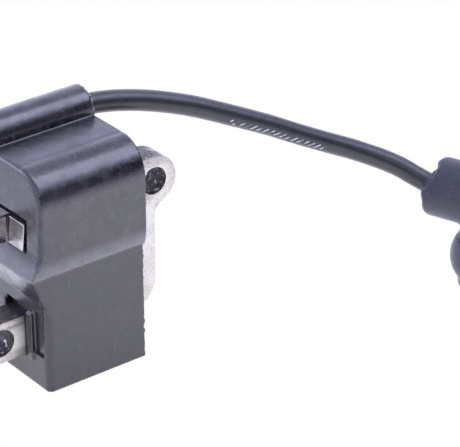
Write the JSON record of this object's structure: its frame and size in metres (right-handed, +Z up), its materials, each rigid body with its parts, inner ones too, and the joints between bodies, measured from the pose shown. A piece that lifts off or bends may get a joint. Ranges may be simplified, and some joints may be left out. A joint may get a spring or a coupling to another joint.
{
  "type": "ignition coil",
  "caption": "Potted ignition coil on a laminated steel core with two mounting holes, a push-on stop terminal and a short high-tension lead to an elbow plug boot.",
  "frame": {"origin": "middle of the footprint of the housing and core, on the surface that the housing stands on", "axes": "+X along the lead tube towards the lead's mouth, +Y from the rounded front face to the lead tube at the back, along the mounting holes, +Z up"},
  "size_m": [0.1321, 0.061, 0.0588],
  "materials": {
    "case_plastic": "moulded black plastic, slightly rough satin",
    "resin": "poured black potting resin, uneven gloss",
    "core_steel": "punched silicon steel sheets, light grey",
    "rivet_steel": "bright steel",
    "bobbin_plastic": "off-white moulded plastic",
    "copper_wire": "enamelled copper wire",
    "board": "green glass-fibre board",
    "component_black": "black moulded parts",
    "resistor_body": "lacquered beige",
    "capacitor_body": "dipped red-brown",
    "tinned_metal": "bright tinned strip",
    "brass_contact": "brass",
    "sealant": "rough grey-black sealant",
    "lead_jacket": "smooth black lead jacket",
    "boot_rubber": "soft black moulded rubber",
    "spring_steel": "plated spring wire"
  },
  "bodies": {
    "coil": {"case": "case_plastic", "potting": "resin", "core_laminations": "core_steel", "core_rivets": "rivet_steel", "primary_bobbin": "bobbin_plastic", "primary_winding": "copper_wire", "secondary_bobbin": "bobbin_plastic", "secondary_winding": "copper_wire", "circuit_board": "board", "power_transistor": "component_black", "control_chip": "component_black", "resistors": "resistor_body", "filter_capacitor": "capacitor_body", "clamp_diode": "component_black", "primary_start_wire": "copper_wire", "primary_end_wire": "copper_wire", "secondary_wire": "copper_wire", "ground_strip": "tinned_metal", "stop_terminal": "tinned_metal", "lead_spike": "brass_contact", "lead_seal": "sealant", "ht_lead": "lead_jacket"},
    "boot": {"plug_boot": "boot_rubber", "boot_contact_spring": "spring_steel", "boot_contact_pin": "brass_contact"}
  },
  "joints": [
    {"name": "boot_swivel", "type": "hinge", "parent": "coil", "child": "boot", "pos_m": [0.096, -0.037, 0.022], "axis": [0.3338, -0.9426, 0], "range_deg": [-90, 90]}
  ]
}
